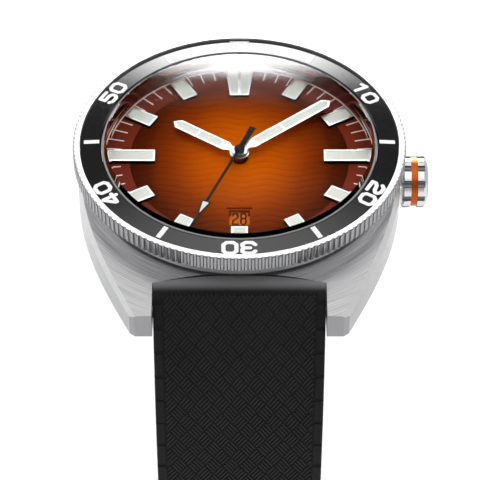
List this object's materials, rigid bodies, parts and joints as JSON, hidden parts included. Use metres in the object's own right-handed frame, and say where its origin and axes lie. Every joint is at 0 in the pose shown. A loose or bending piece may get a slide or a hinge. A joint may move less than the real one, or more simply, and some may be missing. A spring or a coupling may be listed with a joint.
{
  "type": "dive watch",
  "caption": "Wrist dive watch: cushion case, turning coin-edge bezel, fluted crown, orange dial with date, and a two-part rubber strap left open at its pin buckle.",
  "frame": {"origin": "centre of the case back's outer face", "axes": "+Z out through the dial along the hands' axis, +Y to 12 o'clock, +X to 3 o'clock and the crown"},
  "size_m": [0.0427, 0.0675, 0.1157],
  "materials": {
    "brushed_case_steel": "circular brushed top, polished bevels and flanks",
    "polished_steel": "mirror polished steel",
    "bezel_steel": "satin coin edge, polished rim",
    "spring_steel": "fine satin",
    "black_rubber": "matt moulded rubber with a basket-weave relief",
    "sapphire": "clear, coated",
    "gasket_nylon": "grey nylon",
    "rehaut_brown": "mirror-dark brown flange",
    "black_ceramic": "glossy black",
    "white_lume": "white filled markings",
    "orange_dial": "orange smoked to dark brown at the rim, fine wave relief",
    "white_print": "printed",
    "lume": "luminous compound",
    "black_lacquer": "gloss black",
    "orange_anodised": "orange anodised",
    "plated_brass": "rhodium-plated brass",
    "gilt_brass": "gilt",
    "ruby": "polished",
    "holder_plastic": "natural nylon",
    "orange_print": "orange printed disc"
  },
  "bodies": {
    "watch_head": {"case_body": "brushed_case_steel", "case_back": "polished_steel", "case_back_gasket": "black_rubber", "crystal": "sapphire", "crystal_gasket": "gasket_nylon", "rehaut_ring": "rehaut_brown", "crown_tube": "polished_steel", "spring_bars": "polished_steel", "bezel_click_spring": "spring_steel", "bezel_gasket": "black_rubber", "dial": "orange_dial", "minute_track": "white_print", "hour_markers": "polished_steel", "marker_lume": "lume", "mainplate": "plated_brass", "barrel_bridge": "plated_brass", "train_bridge": "plated_brass", "balance_cock": "plated_brass", "movement_screws": "spring_steel", "jewels": "ruby", "calendar_plate": "plated_brass", "movement_holder": "holder_plastic", "casing_clamps": "spring_steel", "rotor_bearing": "spring_steel"},
    "bezel": {"bezel_ring": "bezel_steel", "bezel_insert": "black_ceramic", "bezel_markings": "white_lume", "bezel_lume_pip": "white_lume", "bezel_retaining_wire": "spring_steel"},
    "stem_sleeve": {"sliding_pinion": "spring_steel"},
    "crown": {"crown": "polished_steel", "crown_ring": "orange_anodised", "winding_stem": "spring_steel", "crown_gasket": "black_rubber"},
    "seconds": {"fourth_wheel": "gilt_brass", "seconds_hand": "black_lacquer", "seconds_hand_lume": "lume"},
    "minutes": {"centre_wheel": "gilt_brass", "minute_hand": "polished_steel", "minute_hand_lume": "lume"},
    "hours": {"hour_wheel": "gilt_brass", "hour_hand": "polished_steel", "hour_hand_lume": "lume"},
    "third_wheel": {"third_wheel": "gilt_brass"},
    "minute_wheel": {"minute_wheel": "gilt_brass"},
    "barrel": {"barrel": "gilt_brass", "mainspring": "spring_steel"},
    "escape_wheel": {"escape_wheel": "spring_steel"},
    "pallet_fork": {"pallet_fork": "spring_steel"},
    "balance": {"balance_wheel": "gilt_brass", "hairspring": "spring_steel"},
    "rotor": {"rotor": "plated_brass"},
    "date": {"date_disc": "orange_print", "date_numerals": "black_lacquer"},
    "strap_six": {"strap_long": "black_rubber"},
    "strap_twelve": {"strap_short": "black_rubber"},
    "keeper": {"free_keeper": "black_rubber"},
    "buckle": {"buckle_frame": "brushed_case_steel", "buckle_bar": "polished_steel"},
    "tongue": {"buckle_tongue": "polished_steel"}
  },
  "joints": [
    {"name": "bezel_turn", "type": "hinge", "parent": "watch_head", "child": "bezel", "pos_m": [0, 0, 0.009], "axis": [0, 0, 1], "continuous": true},
    {"name": "crown_turn", "type": "hinge", "parent": "watch_head", "child": "stem_sleeve", "pos_m": [0.0107, 0, 0.00437], "axis": [1, 0, 0], "continuous": true},
    {"name": "crown_pull", "type": "slide", "parent": "stem_sleeve", "child": "crown", "axis": [1, 0, 0], "range_m": [0, 0.0024]},
    {"name": "seconds_turn", "type": "hinge", "parent": "watch_head", "child": "seconds", "pos_m": [0, 0, 0.005], "axis": [0, 0, -1], "continuous": true},
    {"name": "minutes_turn", "type": "hinge", "parent": "watch_head", "child": "minutes", "pos_m": [0, 0, 0.005], "axis": [0, 0, -1], "continuous": true},
    {"name": "hours_turn", "type": "hinge", "parent": "watch_head", "child": "hours", "pos_m": [0, 0, 0.005], "axis": [0, 0, -1], "continuous": true},
    {"name": "third_wheel_turn", "type": "hinge", "parent": "watch_head", "child": "third_wheel", "pos_m": [0.00211, -0.00077, 0.005], "axis": [0, 0, -1], "continuous": true},
    {"name": "minute_wheel_turn", "type": "hinge", "parent": "watch_head", "child": "minute_wheel", "pos_m": [0.00197, 0.00138, 0.006], "axis": [0, 0, -1], "continuous": true},
    {"name": "barrel_turn", "type": "hinge", "parent": "watch_head", "child": "barrel", "pos_m": [-0.00104, 0.00591, 0.005], "axis": [0, 0, -1], "continuous": true},
    {"name": "escape_wheel_turn", "type": "hinge", "parent": "watch_head", "child": "escape_wheel", "pos_m": [-0.00187, -0.001, 0.005], "axis": [0, 0, -1], "continuous": true},
    {"name": "pallet_fork_swing", "type": "hinge", "parent": "watch_head", "child": "pallet_fork", "pos_m": [-0.00395, -0.0021, 0.0042], "axis": [0, 0, 1], "range_deg": [-5, 5]},
    {"name": "balance_swing", "type": "hinge", "parent": "watch_head", "child": "balance", "pos_m": [-0.00668, -0.00355, 0.0042], "axis": [0, 0, 1], "range_deg": [-270, 270]},
    {"name": "rotor_turn", "type": "hinge", "parent": "watch_head", "child": "rotor", "pos_m": [0, 0, 0.0021], "axis": [0, 0, 1], "continuous": true},
    {"name": "date_turn", "type": "hinge", "parent": "watch_head", "child": "date", "pos_m": [0, 0, 0.0063], "axis": [0, 0, 1], "continuous": true},
    {"name": "strap_six_pivot", "type": "hinge", "parent": "watch_head", "child": "strap_six", "pos_m": [0, -0.02065, 0.00375], "axis": [1, 0, 0], "range_deg": [0, 14]},
    {"name": "strap_twelve_pivot", "type": "hinge", "parent": "watch_head", "child": "strap_twelve", "pos_m": [0, 0.02065, 0.00375], "axis": [-1, 0, 0], "range_deg": [0, 14]},
    {"name": "keeper_slide", "type": "slide", "parent": "strap_twelve", "child": "keeper", "axis": [0, 0, 1], "range_m": [-0.006, 0.01]},
    {"name": "buckle_pivot", "type": "hinge", "parent": "strap_twelve", "child": "buckle", "pos_m": [0, 0.03005, -0.06551], "axis": [1, 0, 0], "range_deg": [-70, 30]},
    {"name": "tongue_pivot", "type": "hinge", "parent": "buckle", "child": "tongue", "pos_m": [0, 0.03005, -0.06551], "axis": [1, 0, 0], "range_deg": [0, 90]}
  ],
  "couplings": [
    {"joint": "minutes_turn", "follows": "seconds_turn", "ratio": 0.016667},
    {"joint": "hours_turn", "follows": "seconds_turn", "ratio": 0.0013889},
    {"joint": "third_wheel_turn", "follows": "seconds_turn", "ratio": -0.13333},
    {"joint": "minute_wheel_turn", "follows": "seconds_turn", "ratio": -0.0055556},
    {"joint": "barrel_turn", "follows": "seconds_turn", "ratio": -0.0029412},
    {"joint": "escape_wheel_turn", "follows": "seconds_turn", "ratio": -10}
  ]
}
